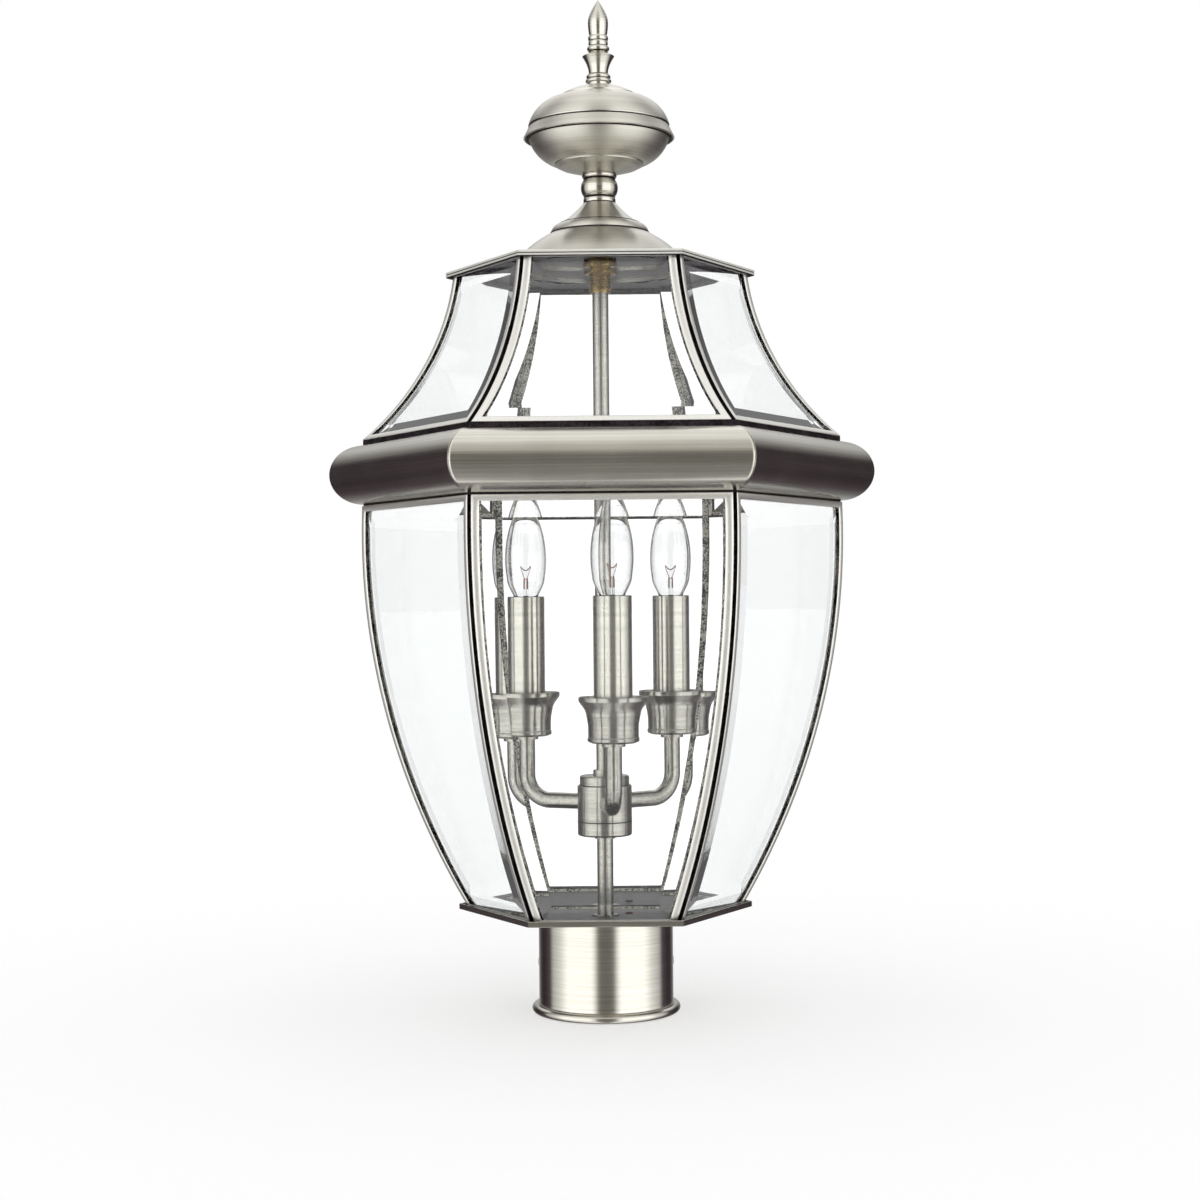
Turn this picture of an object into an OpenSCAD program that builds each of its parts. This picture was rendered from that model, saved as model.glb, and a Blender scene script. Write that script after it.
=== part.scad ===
// Six-sided outdoor lantern with curved, bevelled panes in mitred frames and a three-light cluster.
// Lengths are in millimetres. Z points up and the origin is the centre of the collar's mouth.
// Side one of the six faces -Y, and the sides are numbered anticlockwise seen from above.

/* [Collar] */
// Outside diameter of the slip collar
collar_od = 79.5; // [77:0.5:84]
// Thickness of the collar's wall
collar_wall = 1.2; // [0.8:0.1:1.6]
// Height from the collar's mouth to the base tray
collar_h = 60.6; // [50:0.2:80]
// Radius of the rolled bead round the collar's mouth
bead_r = 2.5; // [1.5:0.1:3]

/* [Cage] */
// Width of the base tray across its flats
base_af = 150.2; // [146:0.2:160]
// Width of the cage across its flats, where the band sits
cage_af = 248.2; // [240:0.2:256]
// Height of the cage frames
cage_h = 238.2; // [230:0.2:256]
// How far each cage pane bows outward
cage_bow = 15.7; // [10:0.1:20]

/* [Band] */
// Radius of the half-round band
band_r = 17.5; // [13:0.1:20]
// Sheet thickness of the band
band_wall = 1.2; // [0.8:0.1:1.6]

/* [Roof] */
// Height of the roof frames
roof_h = 98.1; // [92:0.1:110]
// How far each roof pane bows inward
roof_bow = 9.6; // [6:0.1:12]
// Width of the cap plate across its flats
cap_af = 158.5; // [152:0.1:164]
// Radius of the bell's dome at its foot
bell_r = 53.5; // [48:0.1:58]
// Height of the bell's dome, from its foot to its step
dome_h = 22.3; // [18:0.1:26]

/* [Glass] */
// Thickness of the panes
glass_t = 3.2; // [2.4:0.1:5]
// Width of the bevel round a cage pane
cage_bevel = 12.7; // [8:0.1:15]
// Width of the bevel round a roof pane
roof_bevel = 9.5; // [6:0.1:12]
// Depth that the bevel takes off the edge of a pane
bevel_d = 1.6; // [0.8:0.1:1.9]

/* [Frames] */
// Width of a frame's side bar, seen from the front
came_w = 4.3; // [3.9:0.1:6]
// Width of the groove between the side bars of two neighbours
groove_w = 2.4; // [1.6:0.1:3]
// Height of the rails next to the band
rail_h = 3.6; // [3:0.1:6]

/* [Candles] */
// Radius of the circle on which the three candles stand
candle_ring = 50.8; // [46:0.1:56]
// Diameter of the stem, the arms and the centre rod
tube_d = 9.5; // [8:0.1:10]
// Outside diameter of a candle sleeve
sleeve_d = 22.2; // [21.4:0.1:24]
// Height of a candle sleeve
sleeve_h = 82.7; // [76:0.1:95]
// Greatest diameter of a bulb
bulb_d = 24.7; // [20:0.1:30]

/* [Crown] */
// Greatest radius of the ball's bowl
ball_r = 42.6; // [38:0.1:48]
// Radius of the curve of the ball's wall
ball_round = 22.3; // [19:0.1:24]
// Height of the finial
finial_h = 51.6; // [44:0.1:60]
// Greatest radius of the finial
finial_r = 9.5; // [8.4:0.1:12]

/* [Hidden] */
$fn = 180;

// Colours
pewter = [0.71, 0.70, 0.66];
pewter_dark = [0.45, 0.44, 0.43];
clear_glass = [0.80, 0.90, 0.90, 0.35];
old_brass = [0.55, 0.45, 0.25];
black_plastic = [0.12, 0.12, 0.12];
bright_metal = [0.80, 0.80, 0.78];

// Clearances
slide_gap = 0.34;
seat_gap = 0.3;
pane_gap = 0.2;
thread_gap = 0.1;
mitre_gap = 0.2;
over = 1;

// Sheet, tube and fastener sizes
sides = 6;
half_side = 180 / sides;
sheet = 1.2;
shell_wall = 1;
tube_wall = 1.1;
nut_h = 3.9;
nut_flat = 3.2;
tube_r = tube_d / 2;
pass_r = tube_r + slide_gap;

// Collar
collar_r = collar_od / 2;
bore_r = collar_r - collar_wall;
screw_r = 2.4;
screw_head_r = 4.2;
screw_head_h = 3.4;
screw_stand = 1.6;
screw_z = 26;
screw_turns = [30, 150];

// Base tray
tray_rim = 3.4;
tray_gap = 2.45;
floor_z = collar_h + sheet;
base_a = base_af / 2;

// Cage frames and panes
lip = 0.8;
web = 1;
back_w = 2;
hidden_rail = 2.4;
groove_depth = 3;
cage_z0 = floor_z;
cage_z1 = cage_z0 + cage_h;
cage_foot = [base_a - sheet - tray_gap, cage_z0];
cage_head = [cage_af / 2, cage_z1];

// Band
band_inset = 1.4;
band_lift = 0.8;
band_recess = 3;
band_a = cage_head[0] - band_inset;
band_z = cage_z1 + band_lift + band_r;
band_top = band_z + band_r + band_recess;

// Roof frames, cap plate and bell
roof_overhang = 1.2;
roof_rail = 3;
roof_z0 = band_top;
roof_z1 = roof_z0 + roof_h;
cap_gap = 1.85;
cap_rim = 2.5;
cap_groove = 0.5;
cap_a = cap_af / 2;
roof_foot = [band_a + roof_overhang, roof_z0];
roof_head = [cap_a - sheet - cap_gap, roof_z1];
cap_top = roof_z1 + sheet;
boss_lift = 2.3;
boss_inset = 7;
boss_r = bell_r - boss_inset;
boss_top = cap_top + boss_lift;
bell_z = cap_top;
bell_rim = 1;
step_r = 28;
step_h = 5.4;
step_out = 1.2;
step_bow = 1.2;
step_top_r = 23.6;
flare_h = 12.1;
flare_bow = 0.8;
bell_top_r = 9.8;
bell_top = bell_z + dome_h + step_h + flare_h;

// Nipple and its two lock nuts
nipple_wall = 1.5;
nipple_r = pass_r + nipple_wall;
nipple_below = 15.2;
nipple_above = 6;
nut_r = nipple_r + nut_flat;

// Neck, ball and finial
neck_r = 11;
neck_ring_r = 9.6;
neck_waist = 1.6;
neck_ring_h = 3.4;
neck_ball_h = 11.6;
neck_cap_h = 2.6;
neck_z = bell_top;
ball_z = neck_z + neck_ring_h + neck_ball_h + neck_cap_h;
bowl_foot_r = 10;
bowl_cone_r = 23;
bowl_cone_h = 3.6;
bowl_step_r = 26.3;
bowl_step_h = 5.3;
bowl_round_z = ball_z + 27.2;
bowl_rim_z = ball_z + 22.6;
belt_out = 2.2;
belt_in = 1.1;
belt_z0 = ball_z + 21;
belt_z1 = ball_z + 27.6;
dome_round_z = ball_z + 22.9;
button_r = 22.5;
button_h = 1.2;
button_rise = 5.4;
button_top_r = 9.5;
ball_centre_r = ball_r - ball_round;
button_z = dome_round_z + sqrt(pow(ball_round, 2) - pow(button_r - ball_centre_r, 2));
ball_top = button_z + button_h + button_rise;
stud_r = 3.2;
stud_h = 14.5;
stud_bore = stud_r + seat_gap;
rod_top = ball_top - shell_wall - 0.8;
stud_hole = stud_r + 0.4;

// Three-light cluster
foot_ring_r = 8;
foot_ring_h = 1;
hub_r = 16.1;
hub_lift = 40.5;
hub_z0 = floor_z + hub_lift;
hub_ring_r = 6.1 - 4.75 + tube_r;
hub_ring_h = 1.9;
cover_h = 8.4;
cover_round = 2.7;
hub_h = 21.2;
hub_cap_r = 14.7;
hub_cap_h = 5.8;
hub_cap_round = 1.2;
hub_body_z = hub_z0 + hub_ring_h + cover_h;
hub_cap_z = hub_body_z + hub_h;
coupling_r = tube_r + 1.95;
coupling_h = 3.2;
arm_drop = 10;
arm_bend = 15;
arm_z = hub_cap_z - arm_drop;
arm_turn = 6;
check_r = tube_r + 2.05;
check_h = 2;
cup_lift = 38.1;
cup_z = arm_z + cup_lift;
cup_r = 14.6;
cup_foot_round = 2.2;
cup_flare_z = 8;
cup_flare_r = 34.8;
cup_h = 26.3;
cup_floor_z = cup_z + shell_wall;
arm_top = cup_floor_z + 4;
sleeve_wall = 1;
sleeve_r = sleeve_d / 2;
sleeve_top = cup_floor_z + sleeve_h;
socket_r = sleeve_r - sleeve_wall - 0.7;
socket_h = 44;
socket_drop = 5.2;
socket_top = sleeve_top - socket_drop;
socket_bore_depth = 18.4;
bushing_r = tube_r + 2.4;
bushing_h = 8;
strap_w = 8;
strap_t = 1.6;
bulb_base_r = 5.95;
bulb_base_h = 16.7;
bulb_tip_r = 2.4;
bulb_tip_h = 1.9;
bulb_rise = 0.5;
bulb_z = socket_top + bulb_rise;
bulb_neck_r = 6.2;
bulb_neck_h = 16;
bulb_belly_z = 27;
bulb_belly_r = 70;
bulb_tip_z = 55;
bulb_nose_h = 6;
bulb_wall = 0.7;

// Geometry of a bowed side, seen in a plane through the lantern's axis
function unit(v) = v / norm(v);
function outward(v) = [v[1], -v[0]];
function bow_radius(p, q, bow) = (pow(norm(q - p) / 2, 2) + bow * bow) / (2 * bow);
// A bow arc is the centre of its arc, its radius, and 1 where it bows outward or -1 where it bows inward
function bow_arc(p, q, bow, way) =
    [(p + q) / 2 - way * outward(unit(q - p)) * (bow_radius(p, q, bow) - bow), bow_radius(p, q, bow), way];
function on_surface(s, depth, z) =
    [s[0][0] + s[2] * sqrt(pow(s[1] - s[2] * depth, 2) - pow(z - s[0][1], 2)), z];
function three_point_centre(a, b, c) =
    let (turn = 2 * (a[0] * (b[1] - c[1]) + b[0] * (c[1] - a[1]) + c[0] * (a[1] - b[1])))
    [((a * a) * (b[1] - c[1]) + (b * b) * (c[1] - a[1]) + (c * c) * (a[1] - b[1])) / turn,
     ((a * a) * (c[0] - b[0]) + (b * b) * (a[0] - c[0]) + (c * c) * (b[0] - a[0])) / turn];
// The face ground along a pane's side is the same arc, stretched a little and turned about the lantern's axis
function ground_point(s, z, angle, inset) =
    [on_surface(s, 0, z)[0] * (cos(angle) + tan(half_side) * sin(angle)) - inset * sin(angle), z];
function ground_surface(s, z0, z1, angle, inset) =
    let (a = ground_point(s, z0, angle, inset))
    let (b = ground_point(s, (z0 + z1) / 2, angle, inset))
    let (c = ground_point(s, z1, angle, inset))
    let (centre = three_point_centre(a, b, c))
    [centre, norm(a - centre), s[2]];

cage_surface = bow_arc(cage_foot, cage_head, cage_bow, 1);
roof_surface = bow_arc(roof_foot, roof_head, roof_bow, -1);

// Curves for turned and spun pieces, as radius and height
function arc(c, r, from, to, steps = 10) =
    [for (i = [0 : steps]) let (a = from + (to - from) * i / steps) c + r * [cos(a), sin(a)]];
function ease(p, q, steps = 8) =
    [for (i = [0 : steps]) let (t = i / steps) [p[0] + (q[0] - p[0]) * (1 - cos(180 * t)) / 2, p[1] + (q[1] - p[1]) * t]];
function bowed(p, q, bow, way, steps = 8) =
    let (s = bow_arc(p, q, bow, way))
    arc(s[0], s[1], atan2(p[1] - s[0][1], p[0] - s[0][0]), atan2(q[1] - s[0][1], q[0] - s[0][0]), steps);
function bead(r, out, z, h, steps = 8) =
    [for (i = [0 : steps]) let (a = 180 * i / steps) [r + out * sin(a), z + h * (1 - cos(a)) / 2]];
function quarter(c, rx, rz, from, to, steps = 8) =
    [for (i = [0 : steps]) let (a = from + (to - from) * i / steps) c + [rx * cos(a), rz * sin(a)]];
function edge_normal(p, q) = unit([p[1] - q[1], q[0] - p[0]]);
function corner_normal(a, b) = (a + b) / (1 + a * b);
function offset_path(path, t) =
    let (last = len(path) - 1)
    [for (i = [0 : last])
        let (before = edge_normal(path[max(i - 1, 0)], path[max(i, 1)]))
        let (after = edge_normal(path[min(i, last - 1)], path[min(i + 1, last)]))
        let (moved = path[i] + t * corner_normal(before, after))
        [max(moved[0], 0), moved[1]]];
function reversed(path) = [for (i = [len(path) - 1 : -1 : 0]) path[i]];

// Builders
module side(n) {
    rotate([0, 0, -90 + (n - 1) * 2 * half_side]) children();
}

module candle_place(n) {
    rotate([0, 0, -90 + arm_turn + (n - 1) * 120]) translate([candle_ring, 0, 0]) children();
}

module upright() {
    rotate([90, 0, 0]) linear_extrude(2 * cage_af, center = true) children();
}

// One sixth of the plan, with each cut side moved in by an inset
module sector(inset, z0, z1) {
    translate([inset / sin(half_side), 0, z0])
        linear_extrude(z1 - z0)
            polygon([[0, 0], cage_af * [1, tan(half_side)], cage_af * [1, -tan(half_side)]]);
}

// Everything behind a bowed surface, as a flat outline
module behind(s, depth, z0, z1) {
    if (s[2] > 0)
        intersection() {
            translate(s[0]) circle(s[1] - depth);
            translate([1, z0]) square([cage_af, z1 - z0]);
        }
    else
        difference() {
            translate([1, z0]) square([s[0][0] - 1, z1 - z0]);
            translate(s[0]) circle(s[1] + depth);
        }
}

module layer(s, d0, d1, z0, z1) {
    difference() {
        behind(s, d0, z0, z1);
        behind(s, d1, z0 - over, z1 + over);
    }
}

// What is ground off the upper or lower end of a pane
module end_bevel(s, z, way, bevel_w) {
    p = on_surface(s, 0, z);
    n = s[2] * unit(p - s[0]);
    q = on_surface(s, 0, z - way * bevel_w * n[0]);
    slope = unit(p - n * bevel_d - q);
    start = q - slope * over;
    polygon([start, start + n * cage_bow, p + n * cage_bow + way * [0, cage_bow], p - n * bevel_d + slope * cage_bow]);
}

module bowed_frame(s, z0, z1, foot_rail, head_rail) {
    depth = 2 * lip + 2 * pane_gap + glass_t;
    edge = groove_w / 2 + web;
    color(pewter)
    difference() {
        union() {
            intersection() {
                upright() layer(s, 0, depth, z0, z1);
                sector(groove_w / 2, z0 - over, z1 + over);
            }
            intersection() {
                upright() layer(s, groove_depth, depth, z0, z1);
                sector(mitre_gap / 2, z0 - over, z1 + over);
            }
        }
        intersection() {
            upright() layer(s, -lip, depth - 2 * lip, z0 + foot_rail, z1 - head_rail);
            sector(groove_w / 2 + came_w * cos(half_side), z0, z1);
        }
        intersection() {
            upright() layer(s, 2 * lip, depth + lip, z0 + foot_rail, z1 - head_rail);
            sector(groove_w / 2 + back_w * cos(half_side), z0, z1);
        }
        intersection() {
            upright() layer(s, lip, depth - lip, z0 + web, z1 - web);
            sector(edge, z0, z1);
        }
    }
}

module bowed_pane(s, z0, z1, bevel_w) {
    front = [s[0], s[1] - s[2] * (lip + pane_gap), s[2]];
    low = z0 + web + pane_gap;
    high = z1 - web - pane_gap;
    edge = groove_w / 2 + web + pane_gap;
    angle = atan(bevel_d / bevel_w);
    ground = ground_surface(front, low, high, angle, edge / cos(half_side) + bevel_w);
    color(clear_glass)
    difference() {
        intersection() {
            upright() layer(front, 0, glass_t, low, high);
            sector(edge, low - over, high + over);
            rotate([0, 0, angle]) upright() behind(ground, 0, low - over, high + over);
            rotate([0, 0, -angle]) upright() behind(ground, 0, low - over, high + over);
        }
        upright() end_bevel(front, low, -1, bevel_w);
        upright() end_bevel(front, high, 1, bevel_w);
    }
}

// A sheet spun to the outline of its outer face, with its thickness inside
module spun(path, wall = shell_wall) {
    rotate_extrude() polygon(concat(path, reversed(offset_path(path, wall))));
}

module turned(path, bore) {
    rotate_extrude()
        polygon(concat([[bore, path[0][1]]], path, [[bore, path[len(path) - 1][1]]]));
}

module tube(r, wall, z0, z1) {
    translate([0, 0, z0]) difference() {
        cylinder(r = r, h = z1 - z0);
        translate([0, 0, -over]) cylinder(r = r - wall, h = z1 - z0 + 2 * over);
    }
}

module hex_prism(a, z0, z1) {
    translate([0, 0, z0]) cylinder(r = a / cos(half_side), h = z1 - z0, $fn = sides);
}

module hex_nut(r, bore, z0) {
    translate([0, 0, z0]) difference() {
        cylinder(r = r, h = nut_h, $fn = sides);
        translate([0, 0, -over]) cylinder(r = bore, h = nut_h + 2 * over);
    }
}

// Collar, tray and stem
module fitter_collar() {
    color(pewter)
    difference() {
        union() {
            cylinder(r = collar_r, h = collar_h);
            rotate_extrude() translate([collar_r + bead_r * 0.66, bead_r]) circle(bead_r, $fn = 48);
        }
        translate([0, 0, -over]) cylinder(r = bore_r, h = collar_h + 2 * over);
        for (turn = screw_turns)
            rotate([0, 0, turn]) translate([bore_r - over, 0, screw_z]) rotate([0, 90, 0])
                cylinder(r = screw_r + thread_gap, h = collar_wall + 2 * over);
    }
}

module set_screws() {
    color(pewter_dark)
    for (turn = screw_turns)
        rotate([0, 0, turn]) translate([bore_r, 0, screw_z]) rotate([0, 90, 0]) {
            cylinder(r = screw_r, h = collar_wall + screw_stand + over);
            translate([0, 0, collar_wall + screw_stand]) cylinder(r = screw_head_r, h = screw_head_h);
        }
}

module base_tray() {
    color(pewter)
    difference() {
        hex_prism(base_a, collar_h, collar_h + tray_rim);
        hex_prism(base_a - sheet, floor_z, collar_h + tray_rim + over);
        translate([0, 0, collar_h - over]) cylinder(r = tube_r + thread_gap, h = sheet + 2 * over);
    }
}

module stem() {
    color(pewter)
    difference() {
        union() {
            translate([0, 0, collar_h]) cylinder(r = tube_r, h = hub_body_z + sheet + 2 - collar_h);
            translate([0, 0, floor_z]) cylinder(r = foot_ring_r, h = foot_ring_h);
        }
        translate([0, 0, collar_h - over]) cylinder(r = tube_r - tube_wall, h = hub_body_z);
    }
}

// Hub of the cluster
module hub_cover() {
    ring_top = hub_z0 + hub_ring_h;
    path = concat(
        [[hub_ring_r, hub_z0], [hub_ring_r, ring_top]],
        arc([hub_r - cover_round, ring_top + cover_round], cover_round, -90, 0, 6),
        [[hub_r, ring_top + cover_h]]);
    color(pewter) turned(path, tube_r + thread_gap);
}

module hub_body() {
    color(pewter)
    difference() {
        translate([0, 0, hub_body_z]) cylinder(r = hub_r, h = hub_h);
        translate([0, 0, hub_body_z + sheet]) cylinder(r = hub_r - sheet, h = hub_h);
        translate([0, 0, hub_body_z - over]) cylinder(r = tube_r + thread_gap, h = sheet + 2 * over);
        for (n = [1 : 3])
            candle_place(n) translate([-candle_ring, 0, arm_z]) rotate([0, 90, 0])
                cylinder(r = tube_r + thread_gap, h = hub_r + over);
    }
}

module hub_cap() {
    path = concat(
        [[hub_cap_r, hub_cap_z]],
        arc([hub_cap_r - hub_cap_round, hub_cap_z + hub_cap_h - hub_cap_round], hub_cap_round, 0, 90, 6));
    color(pewter) turned(path, tube_r + thread_gap);
}

module centre_rod() {
    rod_foot = hub_cap_z - 4;
    ring_z = hub_cap_z + hub_cap_h;
    color(bright_metal)
    difference() {
        union() {
            translate([0, 0, rod_foot]) cylinder(r = tube_r, h = rod_top - rod_foot);
            translate([0, 0, ring_z]) cylinder(r = coupling_r, h = coupling_h);
            translate([0, 0, rod_top - over]) cylinder(r = stud_r, h = stud_h + over);
        }
        translate([0, 0, rod_foot - over]) cylinder(r = tube_r - tube_wall, h = rod_top - rod_foot - 2 * over);
    }
}

// Arms and candles
module arm_run(r, extra) {
    bend_in = candle_ring - arm_bend;
    start = hub_r - sheet - 3;
    translate([start - candle_ring - extra, 0, arm_z]) rotate([0, 90, 0])
        cylinder(r = r, h = bend_in - start + extra);
    translate([-arm_bend, 0, arm_z + arm_bend]) rotate([90, 0, 0])
        rotate_extrude(angle = 90, start = -90) translate([arm_bend, 0]) circle(r, $fn = 48);
    translate([0, 0, arm_z + arm_bend]) cylinder(r = r, h = arm_top - arm_z - arm_bend + extra);
}

module arm() {
    color(pewter)
    difference() {
        union() {
            arm_run(tube_r, 0);
            translate([0, 0, cup_z - check_h]) cylinder(r = check_r, h = check_h);
        }
        arm_run(tube_r - tube_wall, over);
    }
}

module candle_cup() {
    rise = cup_h - cup_flare_z;
    path = concat(
        [[tube_r + thread_gap, cup_z]],
        arc([cup_r - cup_foot_round, cup_z + cup_foot_round], cup_foot_round, -90, 0, 5),
        arc([cup_r + cup_flare_r, cup_z + cup_flare_z], cup_flare_r, 180, 180 - asin(rise / cup_flare_r), 8));
    color(pewter) spun(path);
}

module candle_sleeve() {
    color(pewter) tube(sleeve_r, sleeve_wall, cup_floor_z, sleeve_top);
}

module socket() {
    foot = cup_floor_z + seat_gap;
    body_z = socket_top - socket_h;
    color(black_plastic)
    difference() {
        union() {
            translate([0, 0, foot]) cylinder(r = bushing_r, h = bushing_h);
            translate([-strap_w / 2, tube_r, foot]) cube([strap_w, strap_t, body_z - foot + over]);
            translate([0, 0, body_z]) cylinder(r = socket_r, h = socket_h);
        }
        translate([0, 0, foot - over]) cylinder(r = tube_r + thread_gap, h = bushing_h + 2 * over);
        translate([0, 0, socket_top - socket_bore_depth]) cylinder(r = bulb_base_r + slide_gap, h = socket_h);
    }
}

module bulb_base() {
    z0 = bulb_z - bulb_base_h;
    color(bright_metal)
    difference() {
        union() {
            translate([0, 0, z0]) cylinder(r = bulb_base_r, h = bulb_base_h);
            translate([0, 0, z0 - bulb_tip_h + over / 2]) cylinder(r = bulb_tip_r, h = bulb_tip_h);
        }
        translate([0, 0, z0 + 3 * over]) cylinder(r = bulb_base_r - bulb_wall, h = bulb_base_h);
    }
}

module bulb_glass() {
    belly_r = bulb_d / 2;
    shoulder = belly_r - (bulb_belly_r - sqrt(pow(bulb_belly_r, 2) - pow(bulb_belly_z - bulb_neck_h, 2)));
    belly = [belly_r - bulb_belly_r, bulb_z + bulb_belly_z];
    rise = asin((bulb_tip_z - bulb_belly_z) / bulb_belly_r);
    fall = asin((bulb_neck_h - bulb_belly_z) / bulb_belly_r);
    nose_r = belly[0] + bulb_belly_r * cos(rise);
    path = concat(
        ease([bulb_neck_r, bulb_z], [shoulder, bulb_z + bulb_neck_h]),
        arc(belly, bulb_belly_r, fall + (rise - fall) / 10, rise, 10),
        quarter([0, bulb_z + bulb_tip_z], nose_r, bulb_nose_h, 18, 90, 5));
    color(clear_glass) spun(path, bulb_wall);
}

// Cage, band and roof
module cage_frame() {
    bowed_frame(cage_surface, cage_z0, cage_z1, hidden_rail, rail_h);
}

module cage_glass() {
    bowed_pane(cage_surface, cage_z0, cage_z1, cage_bevel);
}

module roof_frame() {
    bowed_frame(roof_surface, roof_z0, roof_z1, roof_rail, hidden_rail);
}

module roof_glass() {
    bowed_pane(roof_surface, roof_z0, roof_z1, roof_bevel);
}

module band_piece() {
    intersection() {
        upright() union() {
            difference() {
                translate([band_a, band_z]) circle(band_r);
                translate([band_a, band_z]) circle(band_r - band_wall);
                translate([0, band_z - 2 * band_r]) square([band_a - band_wall / 2, 4 * band_r]);
            }
            translate([band_a - band_wall, cage_z1]) square([band_wall, band_top - cage_z1]);
        }
        sector(mitre_gap / 2, cage_z1 - over, band_top + over);
    }
}

module band() {
    color(pewter)
    for (n = [1 : sides])
        side(n) band_piece();
}

module cap_plate() {
    rim_z = roof_z1 - cap_rim;
    groove_z = rim_z + over;
    color(pewter)
    difference() {
        union() {
            hex_prism(cap_a, rim_z, cap_top);
            translate([0, 0, cap_top - over]) cylinder(r = boss_r, h = boss_lift + over);
        }
        hex_prism(cap_a - sheet, rim_z - over, roof_z1);
        translate([0, 0, roof_z1 - over]) cylinder(r = boss_r - sheet, h = boss_lift + over);
        translate([0, 0, roof_z1]) cylinder(r = nipple_r + thread_gap, h = boss_lift + sheet + over);
        difference() {
            hex_prism(cap_a + over, groove_z, groove_z + cap_groove);
            hex_prism(cap_a - cap_groove, groove_z - over, groove_z + 2 * over);
        }
    }
}

module bell() {
    // The dome is part of a ball on the axis, from the rim at its foot to the step
    rise = dome_h - bell_rim;
    sag_z = (pow(step_r, 2) + pow(rise, 2) - pow(bell_r, 2)) / (2 * rise);
    dome_radius = sqrt(pow(bell_r, 2) + pow(sag_z, 2));
    step_z = bell_z + dome_h;
    flare_foot = [step_top_r, step_z + step_h];
    path = concat(
        [[bell_r, bell_z]],
        arc([0, bell_z + bell_rim + sag_z], dome_radius, atan2(-sag_z, bell_r), atan2(rise - sag_z, step_r), 12),
        bowed([step_r + step_out, step_z], flare_foot, step_bow, 1),
        bowed(flare_foot, [bell_top_r, bell_top], flare_bow, -1),
        [[pass_r, bell_top]]);
    color(pewter) spun(path);
}

module nipple() {
    color(old_brass)
    tube(nipple_r, nipple_wall, boss_top - sheet - nipple_below, boss_top + nipple_above);
}

module lock_nuts() {
    color(old_brass) {
        hex_nut(nut_r, nipple_r + thread_gap, boss_top - sheet - nut_h);
        hex_nut(nut_r, nipple_r + thread_gap, boss_top);
    }
}

// Neck, ball and finial
module neck() {
    ball_foot = neck_z + neck_ring_h;
    ball_head = ball_foot + neck_ball_h;
    waist_r = neck_r - neck_waist;
    path = concat(
        bead(neck_ring_r - 0.8, 0.8, neck_z, neck_ring_h, 6),
        bead(waist_r - 2, neck_waist + 2, ball_foot, neck_ball_h, 12),
        bead(neck_ring_r, 0.7, ball_head, neck_cap_h, 6));
    color(pewter) turned(path, pass_r);
}

module ball_bowl() {
    centre = [ball_centre_r, bowl_round_z];
    from = -acos((bowl_step_r + 2 - ball_centre_r) / ball_round);
    to = asin((bowl_rim_z - bowl_round_z) / ball_round);
    path = concat(
        [[pass_r, ball_z], [bowl_foot_r, ball_z], [bowl_cone_r, ball_z + bowl_cone_h]],
        [[bowl_step_r, ball_z + bowl_step_h], [bowl_step_r, ball_z + bowl_step_h + 0.7]],
        arc(centre, ball_round, from, to, 12));
    color(pewter) spun(path);
}

module ball_dome() {
    centre = [ball_centre_r, dome_round_z];
    from = asin((belt_z1 + 1 - dome_round_z) / ball_round);
    to = acos((button_r - ball_centre_r) / ball_round);
    // The button is part of a larger ball on the axis, on a short upright step
    sag_z = (pow(button_r, 2) - pow(button_top_r, 2) - pow(button_rise, 2)) / (2 * button_rise);
    button_round = sqrt(pow(button_r, 2) + pow(sag_z, 2));
    path = concat(
        [[ball_r + belt_out, belt_z0], [ball_r - belt_in, belt_z1]],
        arc(centre, ball_round, from, to, 12),
        arc([0, button_z + button_h - sag_z], button_round,
            acos(button_r / button_round), acos(button_top_r / button_round), 8),
        [[stud_hole, ball_top]]);
    color(pewter) spun(path);
}

// The finial is a foot with two beads, a flared vase, three collars and a pointed bud
module finial() {
    foot_r = 0.67 * finial_r;
    waist_r = 0.59 * finial_r;
    collar_in = 0.55 * finial_r;
    bud_r = 0.63 * finial_r;
    foot_h = 0.04 * finial_h;
    bead_h = 0.048 * finial_h;
    vase_h = 0.21 * finial_h;
    shoulder_h = 0.06 * finial_h;
    collar_step = 0.06 * finial_h;
    vase_z = ball_top + foot_h + 2 * bead_h;
    shoulder_z = vase_z + vase_h;
    collars_z = shoulder_z + shoulder_h;
    bud_z = collars_z + 3 * collar_step;
    bud_h = ball_top + finial_h - bud_z;
    below = 0.36 * bud_h;
    above = bud_h - below;
    path = concat(
        [[foot_r, ball_top]],
        bead(foot_r, 0.14 * finial_r, ball_top + foot_h, bead_h, 6),
        bead(foot_r - 0.2, 0.11 * finial_r, ball_top + foot_h + bead_h, bead_h, 6),
        [for (i = [0 : 8]) let (t = i / 8) [waist_r + (finial_r - waist_r) * t * t, vase_z + vase_h * t]],
        [[0.75 * finial_r, (shoulder_z + collars_z) / 2]],
        bead(collar_in, 0.15 * finial_r, collars_z, collar_step, 6),
        bead(collar_in, 0.06 * finial_r, collars_z + collar_step, collar_step, 6),
        bead(collar_in, 0.08 * finial_r, collars_z + 2 * collar_step, collar_step, 6),
        quarter([0, bud_z + below], bud_r, 2 * below, -28, 0, 4),
        [for (i = [1 : 8]) let (t = i / 8) [bud_r * cos(90 * t), bud_z + below + above * t]]);
    color(pewter)
    difference() {
        turned(path, 0);
        translate([0, 0, ball_top - over]) cylinder(r = stud_bore, h = stud_h - shell_wall + over);
    }
}

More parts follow.
